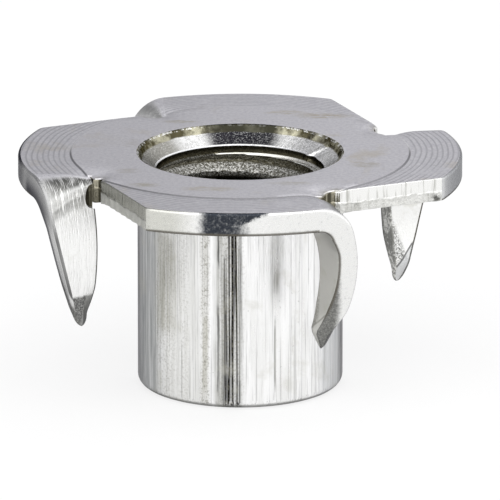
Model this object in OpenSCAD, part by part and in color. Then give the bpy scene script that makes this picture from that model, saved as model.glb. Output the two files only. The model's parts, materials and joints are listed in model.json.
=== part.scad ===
// Four-prong tee nut for an M8 screw, pressed from one piece of steel sheet.
// The threaded barrel stands on Z = 0 and the flange closes it off at the top.
// Four lobes of the flange each carry one claw, cut free along the next lobe
// and folded down, so that the nut bites into wood and cannot turn.
// Each lobe lies between two parallel lines: the cut that freed the claw before
// it, and the fold of its own claw. +X runs along these lines of the first lobe.

/* [Barrel] */
// Height of the whole nut, from the barrel's end to the flange's top
nut_h = 11.6; // [9.5:0.1:20]
// Outer diameter of the barrel
barrel_d = 10; // [9.4:0.1:12]
// Rounding of the barrel's lower outer edge
end_round = 0.45; // [0.1:0.05:0.8]
// Fillet where the barrel runs into the flange's underside
neck_round = 0.35; // [0.1:0.05:0.8]

/* [Thread] */
// Bore between the thread's crests
bore_d = 6.9; // [6.6:0.05:7.2]
// Smooth relief above the thread, as wide as the thread's roots
relief_d = 8.2; // [8:0.05:8.6]
// Depth below the flange's top at which the relief ends and the thread starts
relief_depth = 1.3; // [1.2:0.05:2]
// Width of the countersink at the lower end of the thread
exit_d = 8.3; // [7.5:0.05:8.6]

/* [Mouth] */
// Diameter of the mouth, where the flange's flat top ends
mouth_d = 9.9; // [9.5:0.05:10.4]
// Step inwards of the steep lip just under the mouth's edge
lip_step = 0.15; // [0.05:0.01:0.25]
// Depth of that lip
lip_depth = 0.33; // [0.1:0.01:0.4]
// Depth below the flange's top at which the flare meets the relief
flare_depth = 0.85; // [0.7:0.05:1.1]

/* [Flange] */
// Diameter over the rims of the four lobes
flange_d = 21.6; // [20:0.1:26]
// Thickness of the sheet
sheet_t = 1.2; // [0.9:0.02:1.5]
// Diameter of the pressed face round the mouth
face_d = 16.5; // [14:0.1:18]
// Height by which that face stands above the lobes
face_step = 0.05; // [0.02:0.01:0.1]
// Distance of each lobe's sheared edge from the nut's axis
shear_off = 8.1; // [6.7:0.05:8.6]
// Radius of the corner between a lobe's sheared edge and its rim
corner_r = 0.6; // [0.2:0.05:1.2]

/* [Claws] */
// Distance of each fold from the nut's axis at the rim, on the sheared edge's side
fold_off = 0.64; // [0.5:0.02:1]
// Outer radius of the fold at the rim, where it is wide
fold_rim_r = 2; // [1.8:0.05:2.4]
// Outer radius of the fold at the cut's root, where it is tight
fold_root_r = 0.5; // [0.3:0.05:1]
// Inner radius of the fold at the cut's root
fold_root_in = 0.15; // [0.1:0.05:0.3]
// Angle through which the fold turns at the rim before the hook takes over
fold_a = 72; // [68:1:80]
// Gap that the shear leaves between a claw and the next lobe
slit_w = 0.1; // [0.05:0.01:0.2]
// Radius of the round hollow at the cut's root
hollow_r = 0.45; // [0.2:0.05:0.5]
// Distance of the hollow's middle from the start of the fold
hollow_at = 0.85; // [0.7:0.05:1.1]
// Outer radius of the hook that bends the claw back under its lobe
hook_r = 7.6; // [6:0.1:9]
// Angle through which the hook turns
hook_a = 49.5; // [30:0.5:60]
// Thickness of the claw's outer edge below the fold, where the stroke has drawn it thinner
claw_t = 0.95; // [0.7:0.05:1.1]
// Distance by which the claw's inner edge swings outwards on its way to the point
edge_swing = 0.15; // [0:0.05:0.6]
// Bulge of the claw's outer edge beyond a straight line to the point
edge_bow = 0.5; // [0:0.01:0.7]
// Width of the rounding along both edges of the claw
edge_w = 0.14; // [0.06:0.02:0.3]
// Share of the claw's length at which the facets of its point begin
point_from = 0.76; // [0.65:0.01:0.86]
// Share of the claw's length at which the bevel on its inner face begins
bevel_from = 0.93; // [0.86:0.01:0.95]
// Width of the point's end
tip_w = 0.5; // [0.15:0.01:0.6]
// Thickness of the point's end
tip_t = 0.24; // [0.15:0.01:0.5]

/* [Hidden] */
$fn = 72;

LOBES = 4;               // lobes round the flange, each with one claw
overlap = 0.5;           // length by which a claw starts inside its lobe
fold_lap = 0.01;         // width by which the flange covers the start of each fold
fold_part = 0.25;        // share of a claw's length that its fold takes
drawn_by = 0.38;         // share of a claw's length at which its sheet is drawn thin
hollow_drop = 0.15;      // depth below the flange's underside at which the hollow ends
arc_step = 4;            // largest turn between two points of an outline's arc
fold_steps = 10;         // sections of a claw along its fold
hook_steps = 22;         // sections of a claw along its hook
end_from = 0.965;        // share of a claw's length at which its end starts to round
end_steps = 3;           // sections of a claw in that rounding
square_w = 0.04;         // width of a section's corners where the fold is still square
round_by = 0.12;         // share of a claw's length at which its edges are fully rounded
under_z = nut_h - sheet_t;
flange_r = flange_d / 2;
barrel_r = barrel_d / 2;
bore_r = bore_d / 2;
relief_r = relief_d / 2;
mouth_r = mouth_d / 2;
exit_r = exit_d / 2;
thread_flank = tan(30);  // a flank's rise for each unit of radius
claw_top = nut_h - face_step;              // top of the lobes
lobe_t = sheet_t - face_step;              // thickness of the lobes
claw_in = shear_off + slit_w;              // inner edge where the claw starts
claw_out = sqrt(flange_r * flange_r - fold_off * fold_off);
tip_in = claw_in + edge_swing;             // inner corner of the point
hook_end = fold_a + hook_a;                // turn at the point

// Centre of the hook's arc, as [sideways, up] from the lobe's top over the nut's axis
hook_c = [
    -fold_off - (hook_r - fold_rim_r) * sin(fold_a),
    -fold_rim_r - (hook_r - fold_rim_r) * cos(fold_a)
];

// ---- plan of the flange, in a lobe's own frame: +X along its straight edges ----

// Points of an arc round c, from angle a0 to angle a1
function arc(c, r, a0, a1) =
    let (n = max(2, ceil(abs(a1 - a0) / arc_step)))
    [for (i = [0:n]) let (a = a0 + (a1 - a0) * i / n) c + r * [cos(a), sin(a)]];

// A point turned by angle a about the nut's axis
function turned(p, a) = [p.x * cos(a) - p.y * sin(a), p.x * sin(a) + p.y * cos(a)];

// Centre of the corner's arc: one corner radius inside the rim and inside the sheared edge
function corner_centre() =
    let (off = shear_off - corner_r)
    [sqrt(pow(flange_r - corner_r, 2) - off * off), -off];

// Inner end of the cut, where the next lobe's sheared edge meets this lobe's fold
cut_root = [shear_off, surface_at(0, fold_root_r, 0).x];

// Outline of one lobe: root, sheared edge, corner, rim, fold
function lobe_outline() =
    let (c = corner_centre(), rim_a = atan2(c.y, c.x))
    concat(
        [turned(cut_root, -360 / LOBES)],
        arc(c, corner_r, -90, rim_a),
        arc([0, 0], flange_r, rim_a + 1, -asin((fold_off - fold_lap) / flange_r)),
        [[claw_in, cut_root.y + fold_lap]]
    );

module flange_plan() {
    polygon([
        for (k = [0:LOBES - 1])
            for (p = lobe_outline()) turned(p, k * 360 / LOBES)
    ]);
}

module flange() {
    translate([0, 0, under_z])
        linear_extrude(sheet_t - face_step) flange_plan();
    intersection() {
        translate([0, 0, under_z]) linear_extrude(sheet_t) flange_plan();
        cylinder(h = nut_h, r = face_d / 2);
    }
}

// ---- claws ----

// Turn at which a fold of radius r meets the hook, on the surface at depth t
function fold_turn(t, r) = acos((-hook_c.y - t - r) / (hook_r - t - r));

// Place at share s of the length on the surface at depth t below the outer face, as
// [sideways, up]: an arc of radius r that starts level, then the hook's arc.
function surface_at(t, r, s) =
    let (
        turn = fold_turn(t, r),
        fold_c = [hook_c.x + (hook_r - t - r) * sin(turn), -t - r],
        a = s < fold_part
            ? turn * s / fold_part
            : between(turn, hook_end, (s - fold_part) / (1 - fold_part))
    )
    s < fold_part ? fold_c + r * [sin(a), cos(a)] : hook_c + (hook_r - t) * [sin(a), cos(a)];

// Share of the way from a to b that x has come, held to 0..1
function part_way(x, a, b) = min(1, max(0, (x - a) / (b - a)));

// A value on the way from a to b
function between(a, b, share) = a + (b - a) * share;

// Inner edge at share s of the length: straight, swinging out to the point
function inner_edge(s) = between(claw_in, tip_in, pow(s, 3));

// Outer edge: a line from the rim to the point, with a bulge that is full at half of it
function outer_edge(s) = between(claw_out, tip_in + tip_w, s) + edge_bow * 4 * s * (1 - s);

// Thickness at x along the lobe: the lobe's in the fold, below it drawn thinner towards the
// outer edge, and bevelled down at the point
function thickness(s, x) =
    let (
        rim_t = between(lobe_t, claw_t, part_way(x, claw_in, claw_out)),
        drawn = between(lobe_t, rim_t, part_way(s, fold_part, drawn_by))
    )
    between(drawn, tip_t, part_way(s, bevel_from, 1));

// Factor on the width at share s of the length, which rounds the point's end
function end_width(s) = sqrt(1 - 0.8 * pow(part_way(s, end_from, 1), 2));

// Rounded section at share s of the claw's length. Its points are [along the lobe, share
// of the thickness].
// Its corners grow out of the square fold as quarter ellipses of three points. At the
// point those of the outer face widen into two facets that meet in a ridge.
function claw_section(s) =
    let (
        middle = (inner_edge(s) + outer_edge(s)) / 2,
        half = (outer_edge(s) - inner_edge(s)) / 2 * end_width(s),
        r0 = middle - half,
        r1 = middle + half,
        grown = part_way(s, 0, round_by),
        point = part_way(s, point_from, 1),
        w = between(square_w, edge_w, grown),
        d = between(square_w, 0.2, grown),
        w_out = between(w, 0.9 * half, pow(point, 0.8)),
        d_out = between(d, 0.5, point),
        w_in = between(w, 0.7 * half, point),
        d_in = between(d, 0.3, point),
        bend = between(grown * (1 - cos(45)), 0.45, point)
    )
    [
        [r0 + w_out, 0],
        [r0 + w_out * bend, d_out * bend],
        [r0, d_out],
        [r0, 1 - d_in],
        [r0 + w_in * bend, 1 - d_in * bend],
        [r0 + w_in, 1],
        [r1 - w_in, 1],
        [r1 - w_in * bend, 1 - d_in * bend],
        [r1, 1 - d_in],
        [r1, d_out],
        [r1 - w_out * bend, d_out * bend],
        [r1 - w_out, 0]
    ];

// A section placed at share s of the length. Each of its points lies on the line between
// the outer and the inner face. The fold's radius grows along the lobe, from root to rim.
function claw_ring(s, section) = [
    for (q = section)
        let (
            share = part_way(q.x, claw_in, claw_out),
            outer = surface_at(0, between(fold_root_r, fold_rim_r, share), s),
            inner = surface_at(
                thickness(s, q.x),
                between(fold_root_in, fold_rim_r - lobe_t, share),
                s
            ),
            place = between(outer, inner, q.y)
        )
        [q.x, place.x, place.y]
];

// The ring that starts a claw inside its lobe: the first section shrunk about its middle
function claw_start() =
    let (
        section = claw_section(0),
        middle = (section[0] + section[6]) / 2,
        shrunk = [for (q = section) middle + 0.8 * (q - middle)]
    )
    [for (p = claw_ring(0, shrunk)) p - [0, overlap, 0]];

// A closed solid through a list of rings with equally many points
module loft(rings) {
    n = len(rings[0]);
    last = len(rings) - 1;
    sides = [
        for (i = [0:last - 1])
            for (j = [0:n - 1])
                [i * n + j, i * n + (j + 1) % n, (i + 1) * n + (j + 1) % n, (i + 1) * n + j]
    ];
    polyhedron(
        points = [for (ring = rings) for (p = ring) p],
        faces = concat(
            [[for (j = [n - 1:-1:0]) j]],
            sides,
            [[for (j = [0:n - 1]) last * n + j]]
        ),
        convexity = 4
    );
}

module claw() {
    shares = [
        for (i = [0:fold_steps - 1]) fold_part * i / fold_steps,
        for (i = [0:hook_steps]) between(fold_part, end_from, i / hook_steps),
        for (i = [1:end_steps]) between(end_from, 1, sin(90 * i / end_steps))
    ];
    translate([0, 0, claw_top])
        loft([
            claw_start(),
            for (s = shares) claw_ring(s, claw_section(s))
        ]);
}

// Round hollow at a cut's root, between a claw's outer face and the next lobe's edge
module hollow() {
    translate([claw_in + slit_w / 2, cut_root.y + hollow_at, under_z - hollow_drop])
        cylinder(h = nut_h, r = hollow_r, $fn = 32);
}

// ---- barrel and bore, both turned about the nut's axis ----

module barrel() {
    rotate_extrude()
        polygon(concat(
            [[0, 0]],
            arc([barrel_r - end_round, end_round], end_round, -90, 0),
            arc([barrel_r + neck_round, under_z - neck_round], neck_round, 180, 90),
            [[barrel_r + neck_round, nut_h], [0, nut_h]]
        ));
}

module bore() {
    thread_top = nut_h - relief_depth - (relief_r - bore_r) * thread_flank;
    rotate_extrude()
        polygon([
            [0, -1],
            [exit_r + 1, -1],
            [exit_r, 0],
            [bore_r, exit_r - bore_r],
            [bore_r, thread_top],
            [relief_r, nut_h - relief_depth],
            [relief_r, nut_h - flare_depth],
            [mouth_r - lip_step, nut_h - lip_depth],
            [mouth_r, nut_h],
            [mouth_r, nut_h + 1],
            [0, nut_h + 1]
        ]);
}

module tee_nut() {
    color("silver")
        difference() {
            union() {
                barrel();
                flange();
                for (k = [0:LOBES - 1])
                    rotate(k * 360 / LOBES) claw();
            }
            bore();
            for (k = [0:LOBES - 1])
                rotate(k * 360 / LOBES) hollow();
        }
}

tee_nut();
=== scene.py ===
import json
import math

import bmesh
import bpy
import numpy as np
from bpy.props import FloatProperty, FloatVectorProperty, PointerProperty
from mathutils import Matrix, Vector


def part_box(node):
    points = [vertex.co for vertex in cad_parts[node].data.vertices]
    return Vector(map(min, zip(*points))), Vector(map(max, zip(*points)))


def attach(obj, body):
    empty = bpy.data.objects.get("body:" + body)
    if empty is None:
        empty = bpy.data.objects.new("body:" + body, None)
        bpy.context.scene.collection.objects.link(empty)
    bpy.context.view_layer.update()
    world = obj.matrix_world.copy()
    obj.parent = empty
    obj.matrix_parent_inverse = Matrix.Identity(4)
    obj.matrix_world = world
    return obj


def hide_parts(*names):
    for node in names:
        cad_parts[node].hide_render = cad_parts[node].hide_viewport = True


bl_info = {
    "name": "Pressed tee nut",
    "version": (1, 0, 0),
    "blender": (4, 5, 0),
    "location": "3D View > Sidebar > Tee nut",
    "description": "A zinc-plated tee nut with four folded claws, and a plain studio for it",
    "category": "Add Mesh",
}

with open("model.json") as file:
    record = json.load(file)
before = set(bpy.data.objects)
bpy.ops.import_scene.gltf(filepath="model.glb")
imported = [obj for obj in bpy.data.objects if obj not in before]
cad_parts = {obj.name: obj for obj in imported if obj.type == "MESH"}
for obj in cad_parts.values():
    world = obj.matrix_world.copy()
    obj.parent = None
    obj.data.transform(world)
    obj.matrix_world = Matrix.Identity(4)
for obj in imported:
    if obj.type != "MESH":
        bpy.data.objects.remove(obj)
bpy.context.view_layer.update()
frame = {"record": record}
MOUNTS = {mount["name"]: mount for mount in frame["record"]["mounts"]}
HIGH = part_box("tee_nut")[1]
MM = 0.001
LOBES = 4
FACE_R = 8.25            # radius in millimetres of the pressed face round the mouth
FRONT_TURN = 24          # degrees from the first lobe's edges to the nut's front

# ---------------------------------------------------------------- sizes


def length(name, description, default):
    """A size in metres, given in millimetres."""
    return FloatProperty(
        name=name, description=description, default=default * MM, unit="LENGTH", subtype="DISTANCE",
        precision=5,
    )


def angle(name, description, default):
    """An angle, given in degrees."""
    return FloatProperty(
        name=name, description=description, default=math.radians(default), unit="ROTATION", subtype="ANGLE",
    )


class TeeNutSizes(bpy.types.PropertyGroup):
    height: length("Height", "From the barrel's end to the flange's top", HIGH[2] / MM)
    barrel_r: length("Barrel radius", "Outer radius of the barrel", MOUNTS["barrel_outside"]["dims"]["r_mm"])
    end_round: length("End rounding", "Rounding of the barrel's lower edge", 0.45)
    neck_round: length("Neck fillet", "Fillet between barrel and flange", 0.35)
    crest_r: length("Thread crest", "Radius of the thread's crests", MOUNTS["screw_thread"]["dims"]["r_mm"])
    root_r: length("Thread root", "Radius of the thread's roots and of the relief above it", 4.1)
    pitch: length("Pitch", "Rise of the thread in one turn", 1.25)
    relief_depth: length("Relief depth", "Depth at which the relief ends", 1.3)
    exit_r: length("Exit radius", "Radius of the countersink at the barrel's end", 4.15)
    mouth_r: length("Mouth radius", "Radius at which the flange's top ends", 4.95)
    lip_step: length("Lip step", "Step inwards of the steep lip under the mouth's edge", 0.15)
    lip_depth: length("Lip depth", "Depth of the lip", 0.33)
    flare_depth: length("Flare depth", "Depth at which the flare meets the relief", 0.85)
    flange_r: length("Flange radius", "Radius of the lobes' rims", 10.8)
    sheet: length("Sheet", "Thickness of the sheet", 1.2)
    face_r: length("Face radius", "Radius of the pressed face round the mouth", FACE_R)
    face_step: length("Face step", "Height of the pressed face above the lobes", 0.05)
    shear_off: length("Shear distance", "Distance of a sheared edge from the axis", 8.1)
    corner_r: length("Corner radius", "Corner between a sheared edge and the rim", 0.6)
    fold_off: length("Fold distance", "Distance of a fold from the axis at the rim", 0.64)
    fold_rim: length("Fold at the rim", "Outer radius of the fold at the rim", 2.0)
    fold_root: length("Fold at the root", "Outer radius of the fold at the cut's root", 0.5)
    fold_root_in: length("Inner fold at the root", "Inner radius of the fold at the cut's root", 0.15)
    fold_a: angle("Fold angle", "Turn of the fold at the rim", 72)
    hook_r: length("Hook radius", "Outer radius of the hook", 7.6)
    hook_a: angle("Hook angle", "Turn of the hook", 49.5)
    slit: length("Slit", "Gap between a claw and the next lobe", 0.1)
    hollow_r: length("Hollow radius", "Radius of the hollow at the cut's root", 0.45)
    hollow_at: length("Hollow distance", "Distance of the hollow's middle from the fold's start", 0.85)
    sag: length("Sag", "Depth by which the folding drags the flange down at the cut's root", 0.25)
    claw_t: length("Claw thickness", "Thickness below the fold", 0.95)
    edge_swing: length("Edge swing", "Swing of the inner edge to the point", 0.15)
    edge_bow: length("Edge bow", "Bulge of the outer edge", 0.498)
    tip_w: length("Point width", "Width of the point's end", 0.5)
    tip_t: length("Point thickness", "Thickness of the point's end", 0.24)


class StudioSettings(bpy.types.PropertyGroup):
    elevation: angle("Elevation", "Height of the camera above the flange's plane", 15.77)
    turn: angle("Turn", "Turn of the camera from the first lobe's edges", FRONT_TURN)
    distance: length("Distance", "Camera to the flange's top", 600)
    lens: FloatProperty(name="Lens", description="Focal length in millimetres", default=888.6)
    aim_right: length("Aim right", "Aim to the right of the mouth's centre", 0.477)
    aim_down: length("Aim down", "Aim below the mouth's centre", 4.786)
    floor: FloatVectorProperty(
        name="Floor", description="Colour of the floor", default=(0.9, 0.9, 0.9), subtype="COLOR",
        min=0, max=1,
    )


# ---------------------------------------------------------------- shape helpers


def between(a, b, share):
    """The value that lies the given share of the way from a to b."""
    return a + (b - a) * share


def part_way(x, a, b):
    """Share of the way from a to b that x has come, held to 0..1."""
    return np.clip((x - a) / (b - a), 0, 1)


def eased(x, a, b):
    """Share of the way from a to b that x has come, starting and ending softly."""
    t = part_way(x, a, b)
    return t * t * (3 - 2 * t)


def steps(a, b, count):
    """count evenly spaced values that start at a and stop one step short of b."""
    return a + (b - a) * np.arange(count) / count


def stacked(*parts):
    """Arrays that fit each other, joined as the coordinates of points."""
    return np.stack(np.broadcast_arrays(*parts), -1)


class Skin:
    """Grids of points in millimetres that share their borders and are welded into one closed mesh."""

    def __init__(self):
        self.points = []
        self.faces = []
        self.uvs = []
        self.kinds = []
        self.count = 0

    def add(self, grid, uv, kind):
        """Adds a grid of rows and columns of points, with a flat place in uv for each and a kind
        of surface."""
        rows, columns = grid.shape[:2]
        index = self.count + np.arange(rows * columns).reshape(rows, columns)
        quads = stacked(index[:-1, :-1], index[:-1, 1:], index[1:, 1:], index[1:, :-1]).reshape(-1, 4)
        self.points.append(grid.reshape(-1, 3))
        self.faces.append(quads)
        self.uvs.append(uv.reshape(-1, 2)[quads - self.count].reshape(-1, 2))
        self.kinds.append(np.full(len(quads), kind))
        self.count += rows * columns

    def mesh(self, name, lift):
        """The welded mesh in metres, with its faces outwards, raised by lift."""
        points = np.concatenate(self.points) * MM + [0, 0, lift]
        mesh = bpy.data.meshes.new(name)
        mesh.from_pydata(points, [], np.concatenate(self.faces))
        flat = np.concatenate(self.uvs).astype(np.float32)
        mesh.uv_layers.new(name=FLAT_MAP).uv.foreach_set("vector", flat.ravel())
        mesh.polygons.foreach_set("material_index", np.concatenate(self.kinds).astype(np.int32))
        work = bmesh.new()
        work.from_mesh(mesh)
        bmesh.ops.remove_doubles(work, verts=work.verts, dist=WELD)
        bmesh.ops.dissolve_degenerate(work, edges=work.edges, dist=WELD / 10)
        bmesh.ops.recalc_face_normals(work, faces=work.faces)
        work.to_mesh(mesh)
        work.free()
        mesh.shade_smooth()
        mesh.set_sharp_from_angle(angle=math.radians(SHARP_TURN))
        return mesh


# ---------------------------------------------------------------- the nut's shape
# Distances in millimetres, unless the note says otherwise.

# kinds of surface, in the order of FINISHES
TOP, MOUTH, THREAD, BARREL, RIM, SHEARED, CLAW_FACE, CLAW_EDGE, CLAW_BACK, UNDER = range(10)
# columns of one lobe's outline; those of the hollow are part of the sheared edge's
HOLLOW_COLUMNS, SHEAR_COLUMNS, CORNER_COLUMNS, RIM_COLUMNS, FOLD_COLUMNS = 14, 52, 6, 26, 12
EDGE_ROWS, WALL_ROWS = 5, 12         # rows of a wall's rounded edge, and of its straight part
FLAT_MAP = "along"       # name of the flat map
WELD = 1e-7              # distance in metres within which points are one
SHARP_TURN = 32          # degrees between two faces above which their edge is sharp
QUARTER = math.pi / 2
RIM_EDGE = 0.12          # rounding of the sheet's edges at the rim
CUT_EDGE = 0.05          # rounding of the sheet's edges along a cut
JOIN_EDGE = 0.008        # rounding where a claw's wall meets the lobe's
OUTER_EDGE = 0.14, 0.16  # width and depth of the rounding along a claw's outer edge
INNER_EDGE = 0.10, 0.12  # the same along its inner edge
EDGE_MOST = 0.3          # share of the thickness that a rounding takes at most
FOLD_PART = 0.25         # share of a claw's length that its fold takes
GROWN_TO = 0.1           # share at which the outer edge has its full rounding
SLIT_TO, DRAWN_TO, FREED_TO = 0.36, 0.38, 0.40    # shares at which slit, thinning and edges are full
CLOSE_TO = 0.42          # share down to which the rows are close
FACETS_FROM = 0.76       # share at which the point's facets start
FACET_FALL, FACET_RISE = 0.5, 0.5    # their fall in thicknesses, and the back's rise in falls
THIN_FROM = 0.93         # share at which the point grows thin
END_FROM = 0.965         # share at which the point's end rounds off
FOLD_LONG, HOOK_LESS = 0.6, 0.9      # shares of the fold in a claw's length, laid flat
ROOT_GAP = 0.02          # gap at the cut's very root
ROOT_TURN = 0.3          # degrees from a fold's last column to the mouth's column
HOLLOW_FADE = 0.35, 0.15             # above and below the underside, where the hollow runs out
HOLLOW_SHOWS = 0.05, 0.2             # widths between which it takes the place of the rounding
LEAST_TURN = 0.1         # least turn in radians by which a depth in the fold is divided
SAG_WIDTH = 0.8          # reach of the dip round a cut's root
SAG_ENDS = -3.5, -1.3    # heights between which the dip fades out down the claw
SPREAD_R = 7.75          # radius inside which the flange's columns run straight
STEP_HALF, STEP_GAP = 0.04, 0.03     # half the width of the face's slope, and its way to a wall
MOUTH_ROUND = 0.10, 0.05             # width and depth of the rounding at the mouth's edge
RIDGE_TOP, RIDGE_END = 0.17, 1.07    # depths between which the flare's burr runs
RIDGE_FROM, RIDGE_TO = 0.0, 15.5     # angles in degrees at which it starts and ends
RIDGE_HIGH, RIDGE_WIDE, RIDGE_SOFT = 0.10, 0.13, 0.12    # its height, width and fading ends
POCKET_OFF, POCKET_WIDE = 0.45, 0.25     # distance from the burr to the pocket, and its width
LIP_WAVE, LIP_SOFT, LIP_ENDS = 0.012, 0.1, (-0.06, -0.01)    # the lip's waviness and where it fades
RELIEF_EDGE = 0.10       # width and height of the small slope at the relief's foot
THREAD_START, THREAD_TURN = -1.45, 66    # height and angle in degrees where the top crest starts
THREAD_ROOT = 0.13       # half the width of the thread's flat root
FLANK = math.tan(math.radians(30))       # slope of the thread's flanks
EXIT_PART, CLOSE_FROM, FOOT_PART = 1.2, -4.6, 0.62    # where the bore's rows grow closer
TEAR_AT, TEAR_WAVE, TEAR_IN = 0.68, 0.05, 0.06    # the torn part's depth, waviness and set-back
TEAR_SINES = (1, 3.1, 0), (0.8, 7.3, 1), (0.5, 15.7, 2)    # height, turns and start of each sine
TEAR_IN_SINE = 0.4, 9.7, 3


class Nut:
    """The sizes in millimetres, and the surfaces worked out from them, with Z = 0 at the flange's top."""

    def __init__(self, sizes):
        for name in sizes.bl_rna.properties.keys():
            value = getattr(sizes, name)
            if isinstance(value, float):
                setattr(self, name, value if name.endswith("_a") else value / MM)
        self.lobe_t = self.sheet - self.face_step
        self.hook_end = self.fold_a + self.hook_a
        reach = self.hook_r - self.fold_rim
        self.hook_y = -self.fold_off - reach * math.sin(self.fold_a)
        self.hook_z = -self.fold_rim - reach * math.cos(self.fold_a)
        hook_turn = self.hook_end - HOOK_LESS * self.fold_a
        self.claw_len = FOLD_LONG * self.fold_rim * self.fold_a + self.hook_r * hook_turn
        self.claw_in = self.shear_off + self.slit
        self.claw_out = math.sqrt(self.flange_r**2 - self.fold_off**2)
        self.root_y = float(self.surface(0, self.fold_root, 0)[0])
        self.hollow_x = self.claw_in + self.slit / 2
        self.hollow_y = self.root_y + self.hollow_at
        self.outline()

    def turn(self, grid, k):
        """A grid turned by k lobes about the axis."""
        a = k * 2 * math.pi / LOBES
        x = grid[..., 0] * math.cos(a) - grid[..., 1] * math.sin(a)
        y = grid[..., 0] * math.sin(a) + grid[..., 1] * math.cos(a)
        return stacked(x, y, grid[..., 2])

    def round_lobes(self, grid):
        """A grid of one lobe's columns repeated for every lobe, closed with its first column."""
        turned = [self.turn(grid, k) for k in range(LOBES)]
        return np.concatenate(turned + [grid[:, :1]], axis=1)

    # ---- fold and hook

    def surface(self, depth, r, s):
        """Sideways and upward place, and turn, at share s of a claw's length, on the surface at
        a depth below its outer face: an arc of radius r that starts level and meets the hook's
        arc, then the hook's arc."""
        meet = np.arccos((-self.hook_z - depth - r) / (self.hook_r - depth - r))
        middle = self.hook_y + (self.hook_r - depth - r) * np.sin(meet)
        fold = meet * part_way(s, 0, FOLD_PART)
        hook = between(meet, self.hook_end, part_way(s, FOLD_PART, 1))
        folding = s < FOLD_PART
        hook_r = self.hook_r - depth
        side = np.where(folding, middle + r * np.sin(fold), self.hook_y + hook_r * np.sin(hook))
        up = np.where(folding, -depth - r * (1 - np.cos(fold)), self.hook_z + hook_r * np.cos(hook))
        return side, up, np.where(folding, fold, hook)

    def folded(self, x, q, thick, s):
        """Places of points at x along the lobe and q deep in a sheet of the given thickness, at
        share s of the length. The fold's radii grow along the lobe, from the cut's root out to
        the rim, so that its start runs slanting across the lobe."""
        share = part_way(x, self.claw_in, self.claw_out)
        outer = self.surface(0, between(self.fold_root, self.fold_rim, share), s)
        inner = self.surface(thick, between(self.fold_root_in, self.fold_rim - self.lobe_t, share), s)
        side = between(outer[0], inner[0], q / thick)
        up = between(outer[1], inner[1], q / thick)
        return stacked(x, side, up - self.face_step)

    def sagged(self, grid):
        """The grid with a soft dip round each cut's root, which fades out down the claw."""
        z = grid[..., 2]
        lower = np.zeros_like(z)
        for k in range(LOBES):
            root = self.turn(np.array([self.shear_off, self.hollow_y - self.hollow_r, 0.0]), k)
            far = np.hypot(grid[..., 0] - root[0], grid[..., 1] - root[1])
            lower += self.sag * np.exp(-(far / SAG_WIDTH) ** 2)
        return stacked(grid[..., 0], grid[..., 1], z - lower * eased(z, *SAG_ENDS))

    # ---- plan of one lobe

    def outline(self):
        """One lobe's outline, anticlockwise from the root of its sheared edge: the straight edge
        with the hollow at its root, the corner's arc, the rim's arc and the fold's start, from
        the rim inwards. Each point has the direction in which its edge rounds inwards, the
        rounding's size, and the angle at which its column crosses the mouth."""
        c_off = self.shear_off - self.corner_r
        c_along = math.sqrt((self.flange_r - self.corner_r) ** 2 - c_off**2)
        rim_a = math.atan2(-c_off, c_along)
        end_a = -math.asin(self.fold_off / self.flange_r)
        hollow_end = self.hollow_y + self.hollow_r
        x = np.concatenate([
            steps(self.root_y, hollow_end, HOLLOW_COLUMNS),
            steps(hollow_end, c_along, SHEAR_COLUMNS - HOLLOW_COLUMNS),
        ])
        reach = np.sqrt(np.clip(self.hollow_r**2 - (x - self.hollow_y) ** 2, 0, None))
        bite = np.maximum(reach - (self.hollow_x - self.shear_off), 0)
        shear = stacked(x, bite - self.shear_off)
        a = steps(-QUARTER, rim_a, CORNER_COLUMNS)
        corner = stacked(np.cos(a), np.sin(a))
        b = between(rim_a, end_a, np.arange(RIM_COLUMNS + 1) / RIM_COLUMNS)
        rim = stacked(np.cos(b), np.sin(b))
        share = np.arange(1, FOLD_COLUMNS + 1) / FOLD_COLUMNS
        x = between(self.claw_out, self.shear_off + ROOT_GAP, share)
        fold = self.folded(x, 0.0, self.lobe_t, 0.0)[:, :2]
        corner_line = [c_along, -c_off] + self.corner_r * corner
        self.line = np.concatenate([shear, corner_line, self.flange_r * rim, fold])
        straight = np.tile([0.0, 1.0], (SHEAR_COLUMNS, 1))
        self.inward = np.concatenate([straight, -corner, -rim, np.zeros((FOLD_COLUMNS, 2))])
        self.fold_at = SHEAR_COLUMNS + CORNER_COLUMNS + RIM_COLUMNS
        self.inward[self.fold_at] = [-1, 0]
        self.inward[-1] = [1, 0]
        j = np.arange(len(self.line))
        rounded = eased(j, SHEAR_COLUMNS - 2, SHEAR_COLUMNS + CORNER_COLUMNS + 4)
        self.edge = between(CUT_EDGE, RIM_EDGE, rounded)
        last = part_way(j[self.fold_at:], self.fold_at, j[-1])
        self.edge[self.fold_at:] = between(RIM_EDGE, JOIN_EDGE, last)
        self.edge[0] = JOIN_EDGE
        own = np.arctan2(self.line[:, 1], self.line[:, 0])
        self.mouth_a = own.copy()
        self.mouth_a[self.fold_at:] = between(own[self.fold_at], own[-1] - math.radians(ROOT_TURN), last)

    # ---- walls

    def wall_rows(self, width, deep, thick):
        """Steps inwards and depths down a wall with a rounded upper and lower edge: a quarter
        ellipse of the given width and depth, a straight stretch and a quarter ellipse."""
        width, deep, thick = (v[None] for v in np.broadcast_arrays(width, deep, thick))
        lead = (slice(None),) + (None,) * (width.ndim - 1)
        a = np.linspace(0, QUARTER, EDGE_ROWS + 1)[lead]
        share = np.linspace(0, 1, WALL_ROWS + 1)[1:-1][lead]
        inwards = [width * (1 - np.sin(a)), 0 * share * thick, width * (1 - np.cos(a))]
        depth = [deep * (1 - np.cos(a)), between(deep, thick - deep, share), thick - deep + deep * np.sin(a)]
        return np.concatenate(inwards), np.concatenate(depth)

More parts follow.
